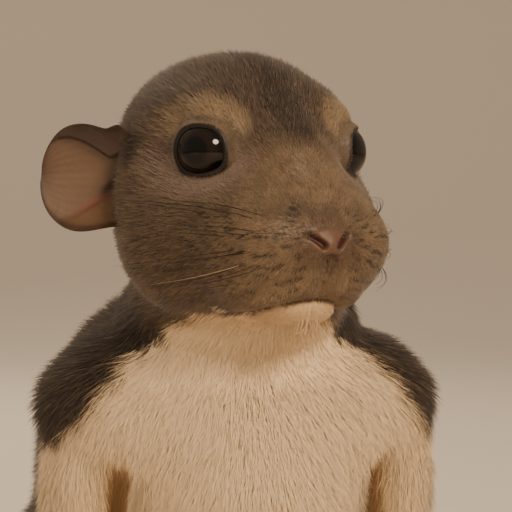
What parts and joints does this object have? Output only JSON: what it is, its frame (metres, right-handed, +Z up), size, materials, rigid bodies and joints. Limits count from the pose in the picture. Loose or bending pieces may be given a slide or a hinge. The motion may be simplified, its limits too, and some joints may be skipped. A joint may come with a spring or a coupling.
{
  "type": "chinchilla",
  "caption": "Life-size still model of a chinchilla sitting on its haunches, forepaws on the floor, head turned a little to its left",
  "frame": {"origin": "on the floor, under the middle of the whole animal", "axes": "+Z up, -Y the way the chest faces, +X the animal's left"},
  "size_m": [0.1102, 0.2456, 0.167],
  "materials": {
    "fur_grey": "dense plush coat, banded hairs",
    "fur_cream": "dense plush coat",
    "bare_skin": "thin soft skin with fine down",
    "eye": "wet gloss",
    "claw": "horn"
  },
  "bodies": {
    "root": {"head": "fur_grey", "neck": "fur_cream", "torso": "fur_grey", "ear_left": "bare_skin", "ear_right": "bare_skin", "eye_left": "eye", "eye_right": "eye", "foreleg_left": "fur_cream", "foreleg_right": "fur_cream", "forepaw_left": "fur_cream", "forepaw_right": "fur_cream", "thigh_left": "fur_grey", "thigh_right": "fur_grey", "hind_foot_left": "fur_cream", "hind_foot_right": "fur_cream", "tail_root": "fur_grey", "tail_brush": "fur_grey"}
  },
  "joints": []
}
